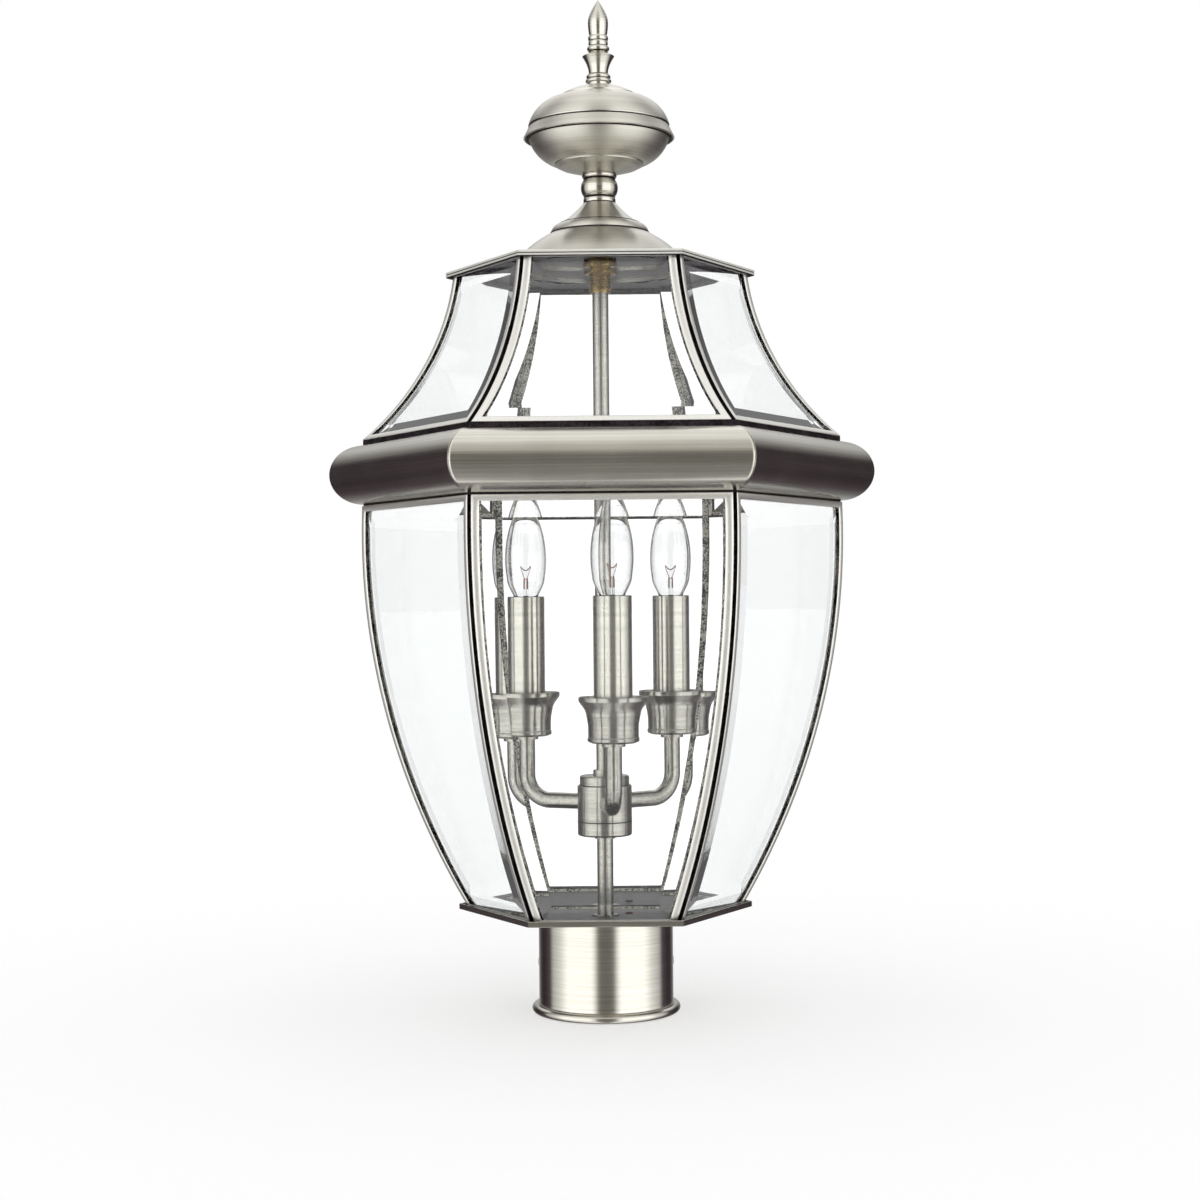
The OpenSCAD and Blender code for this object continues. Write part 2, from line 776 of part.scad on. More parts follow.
fitter_collar();
set_screws();
base_tray();
stem();
hub_cover();
hub_body();
hub_cap();
centre_rod();
band();
cap_plate();
bell();
nipple();
lock_nuts();
neck();
ball_bowl();
ball_dome();
finial();
for (n = [1 : 3]) {
    candle_place(n) arm();
    candle_place(n) candle_cup();
    candle_place(n) candle_sleeve();
    candle_place(n) socket();
    candle_place(n) bulb_base();
    candle_place(n) bulb_glass();
}
for (n = [1 : sides]) {
    side(n) cage_frame();
    side(n) cage_glass();
    side(n) roof_frame();
    side(n) roof_glass();
}
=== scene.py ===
import math

import bmesh
import bpy
from mathutils import Matrix, Vector


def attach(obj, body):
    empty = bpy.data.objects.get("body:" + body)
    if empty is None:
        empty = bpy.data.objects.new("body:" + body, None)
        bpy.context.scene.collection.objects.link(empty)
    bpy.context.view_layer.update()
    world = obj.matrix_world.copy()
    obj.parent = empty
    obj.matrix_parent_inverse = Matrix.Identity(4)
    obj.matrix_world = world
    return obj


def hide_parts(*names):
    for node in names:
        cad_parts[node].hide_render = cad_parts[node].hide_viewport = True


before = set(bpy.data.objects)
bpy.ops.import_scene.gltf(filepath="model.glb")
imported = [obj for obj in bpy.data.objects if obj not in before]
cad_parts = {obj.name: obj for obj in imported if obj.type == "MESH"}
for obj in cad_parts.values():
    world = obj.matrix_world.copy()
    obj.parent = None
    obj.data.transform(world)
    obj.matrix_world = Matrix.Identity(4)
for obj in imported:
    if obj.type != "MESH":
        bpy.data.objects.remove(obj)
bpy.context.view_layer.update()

MM = 0.001
TURN = 2 * math.pi
SIDES = 6
CANDLES = 3
HALF_SIDE = math.radians(30)
SLOPE = math.tan(HALF_SIDE)

# Sizes of the lantern, in millimetres
COLLAR_R = 39.75
BORE_R = 38.55
COLLAR_TOP = 60.6
BEAD_R = 2.5
TRAY_A = 75.1
TRAY_FLOOR = 61.8
TRAY_TOP = 64.0
SHEET = 1.2
TUBE_R = 4.75
HUB_R = 16.1
HUB_FOOT = 102.3
HUB_BODY = 112.6
HUB_CAP = 133.8
HUB_TOP = 139.6
CANDLE_RING = 50.8
CANDLE_TURN = math.radians(-84)
CUP_FOOT = 161.9
CUP_TOP = 188.2
CUP_MOUTH = 19.8
SLEEVE_R = 11.1
SLEEVE_FOOT = 162.9
SLEEVE_TOP = 245.6
BULB_FOOT = 240.9
CAP_R = 5.95
CAP_FOOT = 224.2
CAP_PITCH = 2.4
BAND_A = 122.7
BAND_Z = 318.3
BAND_R = 17.5
BAND_FOOT = 300.0
BAND_TOP = 338.8
CAGE_FOOT = 61.8
CAGE_HEAD = 300.0
ROOF_HEAD = 436.9
PLATE_A = 79.25
PLATE_FOOT = 434.4
PLATE_TOP = 438.1
PLATE_SOFFIT = 436.9
RIM_FOOT = 434.9
RIM_GROOVE = 436.1
RIM_GROOVE_TOP = 436.5
BOSS_R = 46.5
BOSS_TOP = 440.4
BOSS_SOFFIT = 439.2
BELL_TOP = 477.9
NIPPLE_R = 6.59
NIPPLE_FOOT = 424.0
NIPPLE_TOP = 446.4
NIPPLE_PITCH = 1.5
NUT_CORNER = 9.79
NUT_HEIGHT = 3.9
NECK_TOP = 495.5
BALL_TOP = 547.15
PASS_R = 5.09
FIT = 0.1       # round what passes through a hole

# Frames and panes. A frame's bar is measured inward from its edge, and in depth from its front
CAME = 4.3
CAME_EDGE = 0.65
CAME_SWELL = 0.651
CAME_SIDE = -1.1
LIP = 0.8
WEB = 1.0
GROOVE = 2.4
GROOVE_FLOOR = 3.0
BACK_LIP = 2.7
CHANNEL = 5.2
# Painted shade: from this depth the came's face beside the groove is near black, and this far below the
# roof's head the frames' backs are darker
SHADE_FROM = 0.42
SHADED_HEAD = 12
PANE_EDGE = 2.4
PANE_GAP = 0.2
PANE_FRONT = 1.0
GLASS = 3.2
BEVEL_DEPTH = 1.2

# Inside a bulb: the stem, the tips and leads that stand in it, and the filament
STEM_FOOT = BULB_FOOT + 0.8
STEM_TOP = STEM_FOOT + 14
TIP_OUT = 0.9
TIP_WIRE = 0.5
LEAD_WIRE = 0.2
FILAMENT_WIRE = 0.36
FILAMENT_REACH = 3.2
FILAMENT_RISE = 8.2
FILAMENT_SAG = 2.6

# Light. The surround's levels are doubled by the world's strength
WORLD_STRENGTH = 2.0
FOR_THE_EYE = 0.5
THROUGH_GLASS = 0.6
ON_GLASS = 0.42
FOR_DIFFUSE = 0.46
FLOOR_GREY = 0.62
FLOOR_GLOW = 0.44
FLOOR_GLOW_THROUGH = 0.27


# Mesh tools
FILLET_SHARE = 0.49     # of a straight at most, for the fillet at either end
SUPPORT = 0.4           # from a fillet to the point beside it, at most


def at(r, z):
    """A point of a section, out from the axis and up."""
    return Vector((r, 0, z))


def arc(centre, radius, start, end, steps):
    """Points of a circle's arc, from one angle to another in degrees."""
    turns = [math.radians(start + (end - start) * i / steps) for i in range(steps + 1)]
    return [at(centre[0] + radius * math.cos(a), centre[1] + radius * math.sin(a)) for a in turns]


def rounded(corners, steps=4):
    """The outline through corners (radius, height, fillet), with each corner rounded by its fillet."""
    line = []
    for i, corner in enumerate(corners):
        here = at(corner[0], corner[1])
        fillet = corner[2] if len(corner) > 2 else 0
        if not fillet:
            line.append(here)
            continue
        before, after = corners[i - 1], corners[(i + 1) % len(corners)]
        back = at(before[0], before[1]) - here
        on = at(after[0], after[1]) - here
        half = back.angle(on) / 2
        reach = min(fillet / math.tan(half), FILLET_SHARE * back.length, FILLET_SHARE * on.length)
        radius = reach * math.tan(half)
        centre = here + (back.normalized() + on.normalized()).normalized() * radius / math.sin(half)
        first, last = here + back.normalized() * reach - centre, here + on.normalized() * reach - centre
        bend = [centre + first.slerp(last, k / steps).normalized() * radius for k in range(steps + 1)]
        # A point just past each end of the fillet keeps the flat beside it flat when shaded
        spare = [min(SUPPORT, 0.3 * (leg.length / 2 - reach)) for leg in (back, on)]
        beside = [[here + leg.normalized() * (reach + gap)] if gap > 0.02 else []
                  for leg, gap in zip((back, on), spare)]
        line += beside[0] + bend + beside[1]
    return line


def settled(bm):
    """The same net with its points and faces in a fixed order, since a spin's changes from run to run."""
    verts = sorted(bm.verts, key=lambda v: v.co[:])
    points = [v.co[:] for v in verts]
    number = {v: k for k, v in enumerate(verts)}
    faces = sorted([number[v] for v in face.verts] for face in bm.faces)
    bm.free()
    spare = bpy.data.meshes.new("spare")
    spare.from_pydata(points, [], faces)
    made = bmesh.new()
    made.from_mesh(spare)
    bpy.data.meshes.remove(spare)
    return made


def turned(outline, steps=96, place=(0, 0), facets=None):
    """A closed outline turned about an upright axis. With facets it has that many flat sides."""
    bm = bmesh.new()
    corner = 1 / math.cos(math.pi / facets) if facets else 1
    points = [bm.verts.new((p.x * corner, 0, p.z)) for p in outline]
    edges = [bm.edges.new((points[i - 1], points[i])) for i in range(len(points))]
    bmesh.ops.spin(bm, geom=points + edges, cent=(0, 0, 0), axis=(0, 0, 1), angle=TURN,
                   steps=facets or steps, use_merge=True)
    bmesh.ops.remove_doubles(bm, verts=bm.verts, dist=1e-4)
    bm = settled(bm)
    bmesh.ops.translate(bm, verts=bm.verts, vec=(*place, 0))
    return bm


def grid(columns, rows, where, closed_columns=False, closed_rows=False):
    """A net of quads whose corner in a column and row stands where the function says."""
    bm = bmesh.new()
    bmesh.ops.create_grid(bm, x_segments=columns, y_segments=rows, size=0.5)
    for v in bm.verts:
        i, j = round((v.co.x + 0.5) * columns), round((v.co.y + 0.5) * rows)
        v.co = where(i % columns if closed_columns else i, j % rows if closed_rows else j)
    bmesh.ops.remove_doubles(bm, verts=bm.verts, dist=1e-5)
    return bm


def add_to(whole, part):
    """Puts a second mesh into the first."""
    spare = bpy.data.meshes.new("spare")
    part.to_mesh(spare)
    part.free()
    whole.from_mesh(spare)
    bpy.data.meshes.remove(spare)


def close_ends(bm):
    bmesh.ops.holes_fill(bm, edges=[e for e in bm.edges if e.is_boundary], sides=0)


def to_side(bm, n):
    """Turns what was made at the front to one of the six sides."""
    bmesh.ops.rotate(bm, verts=bm.verts, cent=(0, 0, 0), matrix=Matrix.Rotation(n * TURN / SIDES, 3, "Z"))


def candle_place(n):
    """The x and y of a candle's axis."""
    turn = CANDLE_TURN + n * TURN / CANDLES
    return CANDLE_RING * math.cos(turn), CANDLE_RING * math.sin(turn)


def rounding(bm, width, least, keep=None):
    """Rounds the edges that turn by more than an angle, of those that `keep` allows."""
    edges = [e for e in bm.edges if len(e.link_faces) == 2 and e.calc_face_angle(0) > math.radians(least)
             and (keep is None or keep(e))]
    bmesh.ops.bevel(bm, geom=edges, offset=width, segments=2, profile=0.5, affect="EDGES",
                    material=-1, clamp_overlap=True)


def piece(name, bm, body, materials, nodes=(), smooth=35, choose=None):
    """Makes a shown piece of a bmesh in millimetres, riding on its body.

    Edges sharper than `smooth` degrees stay sharp, and `choose` picks each face's material.
    """
    bmesh.ops.recalc_face_normals(bm, faces=bm.faces)
    if choose:
        for face in bm.faces:
            face.material_index = materials.index(choose(face))
    bmesh.ops.scale(bm, verts=bm.verts, vec=(MM, MM, MM))
    mesh = bpy.data.meshes.new(name)
    bm.to_mesh(mesh)
    bm.free()
    mesh.polygons.foreach_set("use_smooth", [True] * len(mesh.polygons))
    mesh.set_sharp_from_angle(angle=math.radians(smooth))
    for material in materials:
        mesh.materials.append(material)
    obj = bpy.data.objects.new(name, mesh)
    bpy.context.scene.collection.objects.link(obj)
    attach(obj, body)
    if nodes:
        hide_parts(*nodes)


# Material tools
class Socket:
    """An output of a material's node that takes part in arithmetic."""

    def __init__(self, paint, socket):
        self.paint, self.socket = paint, socket

    def math(self, operation, *others):
        inputs = dict(enumerate((self, *others)))
        return self.paint.node("ShaderNodeMath", inputs, operation=operation)

    def flipped(self, operation, other):
        return self.paint.node("ShaderNodeMath", {0: other, 1: self}, operation=operation)

    def __add__(self, other):
        return self.math("ADD", other)

    def __sub__(self, other):
        return self.math("SUBTRACT", other)

    def __mul__(self, other):
        return self.math("MULTIPLY", other)

    def __truediv__(self, other):
        return self.math("DIVIDE", other)

    def __radd__(self, other):
        return self.flipped("ADD", other)

    def __rsub__(self, other):
        return self.flipped("SUBTRACT", other)

    def __rmul__(self, other):
        return self.flipped("MULTIPLY", other)

    def __rtruediv__(self, other):
        return self.flipped("DIVIDE", other)

    def __gt__(self, other):
        return self.math("GREATER_THAN", other)

    def __lt__(self, other):
        return self.math("LESS_THAN", other)

    def step(self, low, high):
        """0 below low, 1 above high, and smooth between them."""
        return self.paint.node("ShaderNodeMapRange", {"Value": self, "From Min": low, "From Max": high},
                               interpolation_type="SMOOTHSTEP")


class Paint:
    """Builds the nodes of one material, or of the world."""

    def __init__(self, tree):
        self.tree = tree
        tree.nodes.clear()

    def node(self, kind, inputs=None, output=0, stops=None, **settings):
        made = self.tree.nodes.new(kind)
        for key, value in settings.items():
            setattr(made, key, value)
        if stops:
            while len(made.color_ramp.elements) < len(stops):
                made.color_ramp.elements.new(0.5)
            for element, (position, colour) in zip(made.color_ramp.elements, stops):
                element.position = position
                element.color = colour
        for key, value in (inputs or {}).items():
            if isinstance(value, Socket):
                self.tree.links.new(value.socket, made.inputs[key])
            else:
                made.inputs[key].default_value = value
        return Socket(self, made.outputs[output])

    def place(self, kind="Object"):
        """The object's own coordinates, or another kind."""
        return self.node("ShaderNodeTexCoord", output=kind)

    def split(self, vector):
        """A vector's x, y and z."""
        made = self.node("ShaderNodeSeparateXYZ", {0: vector}).socket.node
        return [Socket(self, output) for output in made.outputs]

    def ray(self, kind):
        """What the light path says of the ray that is being followed."""
        return self.node("ShaderNodeLightPath", output=kind)

    def vector(self, x, y, z):
        return self.node("ShaderNodeCombineXYZ", {0: x, 1: y, 2: z})

    def noise(self, vector, scale, detail=2.0, rough=0.5, w=None):
        inputs = {"Vector": vector, "Scale": scale, "Detail": detail, "Roughness": rough}
        if w is not None:
            inputs["W"] = w
        return self.node("ShaderNodeTexNoise", inputs, noise_dimensions="4D" if w is not None else "3D")

    def mix(self, share, a, b):
        """A colour from a to b."""
        return self.node("ShaderNodeMix", {0: share, 6: a, 7: b}, output=2, data_type="RGBA")

    def bump(self, height, strength, distance):
        return self.node("ShaderNodeBump", {"Height": height, "Strength": strength, "Distance": distance})

    def finish(self, shader, volume=None, kind="ShaderNodeOutputMaterial"):
        out = self.tree.nodes.new(kind)
        self.tree.links.new(shader.socket, out.inputs["Surface"])
        if volume:
            self.tree.links.new(volume.socket, out.inputs["Volume"])


def new_paint(name):
    """A new material, and the paint that fills it."""
    material = bpy.data.materials.new(name)
    material.use_nodes = True
    return material, Paint(material.node_tree)


def colour(r, g, b):
    return (r, g, b, 1)


def apothem(x, y):
    """How far a point stands out from the axis, square to the nearest of the six sides."""
    along, across = y * math.cos(TURN / SIDES), x * math.sin(TURN / SIDES)
    right, left = (along + across).math("ABSOLUTE"), (along - across).math("ABSOLUTE")
    return y.math("ABSOLUTE").math("MAXIMUM", right).math("MAXIMUM", left)


def brushed(name, light, dark, rough=0.22, place=(0, 0), sided=False, spread=0.55, stretch=0.75):
    """Brushed metal whose fine lines run round the axis, or along the six sides."""
    material, p = new_paint(name)
    x, y, z = p.split(p.place())
    x, y = x - place[0] * MM, y - place[1] * MM
    out = apothem(x, y) if sided else (x * x + y * y).math("SQRT")
    fine, coarse = 2600, 420
    lines = p.noise(p.vector(x * 7, y * 7, z * fine), 1.0, 3.0, 0.6, w=out * fine)
    bands = p.noise(p.vector(x * 5, y * 5, z * coarse), 1.0, 2.0, 0.5, w=out * coarse)
    cloud = p.noise(p.vector(x, y, z), 26.0, 3.0, 0.55)
    grain = lines * 0.5 + bands * 0.3 + cloud * 0.2
    tone = grain.step(0.5 - spread / 2, 0.5 + spread / 2)
    shader = p.node("ShaderNodeBsdfPrincipled", {
        "Base Color": p.mix(tone, dark, light),
        "Metallic": 1.0,
        "Roughness": rough + (lines - 0.5) * 0.16 + (cloud - 0.5) * 0.1,
        "Anisotropic": stretch,
        "Anisotropic Rotation": 0.25,
        "Normal": p.bump(lines * 0.6 + bands * 0.4, 0.18, 0.00012),
    })
    p.finish(shader)
    return material


def patina(name, light, dark, rough=0.5, spread=0.24):
    """Dark, mottled metal: the real aged brass and the soldered backs of the frames, and painted shade in the
    grooves and on undersides.
    """
    material, p = new_paint(name)
    where = p.place()
    fine = p.noise(where, 900.0, 4.0, 0.65)
    coarse = p.noise(where, 120.0, 3.0, 0.6)
    tone = (fine * 0.65 + coarse * 0.35).step(0.5 - spread / 2, 0.5 + spread / 2)
    shader = p.node("ShaderNodeBsdfPrincipled", {
        "Base Color": p.mix(tone, dark, light),
        "Metallic": 1.0,
        "Roughness": rough + (coarse - 0.5) * 0.3,
        "Normal": p.bump(fine, 0.35, 0.0002),
    })
    p.finish(shader)
    return material


def clear_glass(name, tint, density, ior, ripple):
    """Clear glass with a tint that deepens over a long way through it."""
    material, p = new_paint(name)
    where = p.place()
    shader = p.node("ShaderNodeBsdfPrincipled", {
        "Base Color": colour(1, 1, 1),
        "Roughness": 0.0,
        "IOR": ior,
        "Transmission Weight": 1.0,
        "Normal": p.bump(p.noise(where, 60.0, 1.0, 0.4), ripple, 0.0004),
    })
    p.finish(shader, p.node("ShaderNodeVolumeAbsorption", {"Color": tint, "Density": density}))
    return material


def plain(name, light, dark, rough, metallic=0.0, scale=300.0, grain=0.2, shine=0.5):
    """A finish with a fine grain and a little change of tone."""
    material, p = new_paint(name)
    where = p.place()
    tone = p.noise(where, scale, 3.0, 0.55)
    shader = p.node("ShaderNodeBsdfPrincipled", {
        "Base Color": p.mix(tone, dark, light),
        "Metallic": metallic,
        "Specular IOR Level": shine,
        "Roughness": rough + (tone - 0.5) * 0.2,
        "Normal": p.bump(p.noise(where, 4 * scale, 2.0, 0.5), grain, 0.0001),
    })
    p.finish(shader)
    return material


def paint_nodes(material, *names):
    """Gives a material to the solids that are shown as they are."""
    for name in names:
        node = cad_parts[name]
        node.data.materials.clear()
        node.data.materials.append(material)


# Finishes
NICKEL = colour(0.67, 0.652, 0.590)
NICKEL_DARK = colour(0.46, 0.444, 0.388)
# Painted shade: a darker copy of the nickel for the hub, stem, rod, arms and cups within the cage
SHADED_NICKEL = colour(0.52, 0.505, 0.455)
SHADED_NICKEL_DARK = colour(0.27, 0.26, 0.23)
round_nickel = brushed("brushed_nickel_turned", NICKEL, NICKEL_DARK, rough=0.18)
spun_nickel = brushed("brushed_nickel_spun", NICKEL, NICKEL_DARK, rough=0.31)
bowl_nickel = brushed("brushed_nickel_bowl", NICKEL, NICKEL_DARK, rough=0.42, stretch=0.4)
tube_nickel = brushed("brushed_nickel_tube", SHADED_NICKEL, SHADED_NICKEL_DARK, rough=0.24, stretch=0.0)
nickel_in_shade = brushed("brushed_nickel_in_shade", SHADED_NICKEL, SHADED_NICKEL_DARK, rough=0.2)
sided_nickel = brushed("brushed_nickel_sided", NICKEL, NICKEL_DARK, sided=True)
band_nickel = brushed("brushed_nickel_band", NICKEL, NICKEL_DARK, rough=0.19, sided=True, stretch=0.6)
# Painted highlight: a paler copy of the nickel for the frames' fronts, so that they look bright
came_highlight_nickel = plain("came_highlight_nickel", colour(0.86, 0.85, 0.80), colour(0.68, 0.665, 0.62), 0.36, 0.75,
                    scale=900.0, grain=0.1)
candle_nickel = [brushed(f"brushed_nickel_candle_{n + 1}", NICKEL, NICKEL_DARK, place=candle_place(n))
                 for n in range(CANDLES)]
cup_nickel = [brushed(f"brushed_nickel_cup_{n + 1}", SHADED_NICKEL, SHADED_NICKEL_DARK, place=candle_place(n))
              for n in range(CANDLES)]
# Painted highlight: a paler copy of the nickel for the cap plate's rim
rim_highlight_nickel = plain("cap_rim_nickel", colour(0.93, 0.92, 0.86), colour(0.80, 0.785, 0.72), 0.4, 0.35,
                   scale=900.0, grain=0.1)
# Painted shade: near black for the grooves, recesses and crevices, where shade falls
groove_shade = patina("groove_painted_shade", colour(0.05, 0.04, 0.045), colour(0.012, 0.009, 0.01), rough=0.6)
# Mottled solder on the frames' backs; its dark tone is partly painted shade inside the frames
back_solder_and_shade = patina("back_solder_and_shade", colour(0.80, 0.77, 0.69), colour(0.07, 0.066, 0.07),
                     rough=0.42, spread=0.1)
# Painted shade: a dark mottle for undersides, and for the backs under the roof's head
underside_shade = patina("underside_painted_shade", colour(0.20, 0.18, 0.21), colour(0.02, 0.018, 0.022), rough=0.4)
# Painted shade: a near black floor for the tray, standing for the shade and dark reflections inside the cage
tray_painted_shade = plain("tray_painted_shade", colour(0.11, 0.104, 0.108), colour(0.045, 0.042, 0.045), 0.35,
                   scale=120.0, shine=0.22)
old_brass = patina("aged_brass", colour(0.70, 0.52, 0.20), colour(0.30, 0.20, 0.07), rough=0.3)
dark_steel = plain("dark_steel", colour(0.36, 0.35, 0.34), colour(0.22, 0.21, 0.20), 0.3, 1.0)
cap_metal = plain("lamp_cap_metal", colour(0.78, 0.76, 0.70), colour(0.62, 0.60, 0.54), 0.25, 1.0)
copper = plain("copper", colour(0.52, 0.19, 0.12), colour(0.28, 0.08, 0.05), 0.35, 1.0)
screw_brown = plain("ground_screw_brown", colour(0.22, 0.08, 0.06), colour(0.10, 0.04, 0.03), 0.4)
black_plastic = plain("socket_black", colour(0.03, 0.03, 0.032), colour(0.015, 0.015, 0.016), 0.5)
pane_glass = clear_glass("pane_glass", colour(0.50, 0.86, 0.84), 8.0, 1.52, 0.03)
bulb_glass = clear_glass("bulb_glass", colour(0.60, 0.58, 0.64), 60.0, 1.5, 0.02)
filament_metal = plain("filament", colour(0.62, 0.27, 0.14), colour(0.36, 0.13, 0.07), 0.4)


# Bowed sides
class Bow:
    """A bowed side, seen in the upright plane through its middle."""

    def __init__(self, foot, head, bow, way):
        foot, head = Vector(foot), Vector(head)
        chord = head - foot
        self.radius = ((chord.length / 2) ** 2 + bow ** 2) / (2 * bow)
        square = Vector((chord.y, -chord.x)).normalized()
        self.centre = (foot + head) / 2 - way * square * (self.radius - bow)
        self.way = way
        self.foot, self.head = foot.y, head.y

    def out(self, z, depth=0.0):
        """How far the surface stands out at a height, at a depth behind the front."""
        r = self.radius - self.way * depth
        return self.centre.x + self.way * math.sqrt(r * r - (z - self.centre.y) ** 2)

    def point(self, across, z, depth):
        """The point at a distance from the side's middle, on the side that faces the front."""
        return Vector((across, -self.out(z, depth), z))

    def edge(self, z, depth, inset):
        """How far the side reaches from its middle, with its edge an inset away from the corner's plane."""
        return self.out(z, depth) * SLOPE - inset / math.cos(HALF_SIDE)


cage = Bow((71.45, CAGE_FOOT), (124.1, CAGE_HEAD), 15.7, 1)
roof = Bow((123.9, BAND_TOP), (76.2, ROOF_HEAD), 9.6, -1)


def came_outline(steps=12):
    """The section of a frame's bar: how far in from its edge, and how deep behind its front."""
    groove = [(CAME_SIDE, GROOVE_FLOOR), (0, GROOVE_FLOOR)]
    face = [(CAME * (0.5 - 0.5 * math.cos(a)), CAME_EDGE - CAME_SWELL * math.sin(a))
            for a in (math.pi * k / steps for k in range(steps + 1))]
    channel = rounded([
        (CAME, LIP), (WEB, LIP), (WEB, CHANNEL - LIP), (BACK_LIP, CHANNEL - LIP, 0.15),
        (BACK_LIP, CHANNEL, 0.3), (CAME_SIDE, CHANNEL),
    ])
    return groove + face + [(p.x, p.z) for p in channel]


def came_frame(bow, foot_rail, head_rail, steps):
    """One side's frame: a ring of bar that follows the bow, with its own width of rail at foot and head."""
    heights = [bow.foot + (bow.head - bow.foot) * k / steps for k in range(steps + 1)]
    stations = [(1, z) for z in heights] + [(-1, z) for z in reversed(heights)]
    outline = came_outline()

    def where(i, j):
        hand, z = stations[i]
        inward, depth = outline[j]
        low, high = bow.foot + foot_rail, bow.head - head_rail
        share = max(inward, 0) / CAME
        up = min(max((z - bow.foot) / (bow.head - bow.foot), 0), 1)
        inner_z = low + (high - low) * up
        height = z + (inner_z - z) * share
        return bow.point(hand * (bow.edge(height, depth, GROOVE / 2) - inward), height, depth)

    return grid(len(stations), len(outline), where, closed_columns=True, closed_rows=True)


def dress_frames(name, bow, foot_rail, head_rail, steps, body):
    finishes = [came_highlight_nickel, groove_shade, back_solder_and_shade, underside_shade]

    def finish_of(face):
        """The finish of a face, while the frame still stands at the front."""
        middle = face.calc_center_median()
        depth = bow.out(middle.z) + middle.y
        inward = bow.edge(middle.z, 0, GROOVE / 2) - abs(middle.x)
        # Painted shade: the backs are mottled solder darkened as shade, darker still near the roof's head,
        # and the groove with the came's edge beside it is near black
        if depth > PANE_FRONT + GLASS / 2:
            return underside_shade if middle.z > ROOF_HEAD - SHADED_HEAD else back_solder_and_shade
        in_groove = depth > LIP - 0.05 or (depth > SHADE_FROM and inward < CAME / 2)
        return groove_shade if in_groove else came_highlight_nickel

    for n in range(SIDES):
        bm = came_frame(bow, foot_rail, head_rail, steps)
        for face in bm.faces:
            face.material_index = finishes.index(finish_of(face))
        to_side(bm, n)
        piece(f"{name}_came_{n + 1}", bm, body, finishes, [f"{name}_frame_{n + 1}"])


def bevelled_pane(bow, bevel, steps):
    """A pane bent to the bow, with the four edges of its front ground to a bevel."""
    low, high = bow.foot + WEB + PANE_GAP, bow.head - WEB - PANE_GAP
    lean_low = bow.out(low + 1, PANE_FRONT) - bow.out(low, PANE_FRONT)
    lean_high = bow.out(high, PANE_FRONT) - bow.out(high - 1, PANE_FRONT)
    inner_low = low + bevel / math.hypot(1, lean_low)
    inner_high = high - bevel / math.hypot(1, lean_high)
    heights = [low] + [inner_low + (inner_high - inner_low) * k / steps for k in range(steps + 1)] + [high]

    def front(i, j):
        reach = bow.edge(heights[j], PANE_FRONT, PANE_EDGE)
        across = (-reach, -reach + bevel, reach - bevel, reach)[i]
        ground = i in (0, 3) or j in (0, steps + 2)
        return bow.point(across, heights[j], PANE_FRONT + (BEVEL_DEPTH if ground else 0))

    def back(i, j):
        reach = bow.edge(heights[j], PANE_FRONT, PANE_EDGE)
        return bow.point((-reach, reach)[i], heights[j], PANE_FRONT + GLASS)

    bm = grid(3, steps + 2, front)
    # The corner quads aren't flat, so each is cut along the line where two bevels meet
    for v in list(bm.verts):
        if len(v.link_edges) == 2:
            face = v.link_faces[0]
            inner = max((w for w in face.verts if w is not v), key=lambda w: len(w.link_edges))
            bmesh.ops.connect_verts(bm, verts=[v, inner])
    add_to(bm, grid(1, steps + 2, back))
    bmesh.ops.bridge_loops(bm, edges=[e for e in bm.edges if e.is_boundary])
    return bm


def dress_panes(name, bow, bevel, steps, body):
    for n in range(SIDES):
        bm = bevelled_pane(bow, bevel, steps)
        to_side(bm, n)
        piece(f"{name}_pane_{n + 1}", bm, body, [pane_glass], [f"{name}_glass_{n + 1}"],
              smooth=3)


# Collar and base
def make_collar():
    """The collar, with a bead rolled outward at its foot."""
    outline = arc((COLLAR_R + 1.65, BEAD_R), BEAD_R, -130, 128, 20)
    outline += rounded([
        (COLLAR_R, 5.2, 0.3), (COLLAR_R, COLLAR_TOP, 0.3), (BORE_R, COLLAR_TOP, 0.2), (BORE_R, 0.3, 0.4),
    ])
    piece("collar", turned(outline, 128), "base", [round_nickel], ["fitter_collar"])


def make_tray():
    hole = TUBE_R + FIT
    outline = rounded([
        (hole, TRAY_FLOOR), (hole, COLLAR_TOP), (TRAY_A, COLLAR_TOP, 0.5), (TRAY_A, TRAY_TOP, 0.4),
        (TRAY_A - SHEET, TRAY_TOP, 0.3), (TRAY_A - SHEET, TRAY_FLOOR, 0.2),
    ])

    # The floor inside the rim takes the painted shade
    def floor(face):
        low = face.calc_center_median().z < TRAY_FLOOR + 0.4
        return tray_painted_shade if low and face.normal.z > 0.9 else sided_nickel

    piece("tray", turned(outline, facets=SIDES), "base", [sided_nickel, tray_painted_shade], ["base_tray"],
          choose=floor)


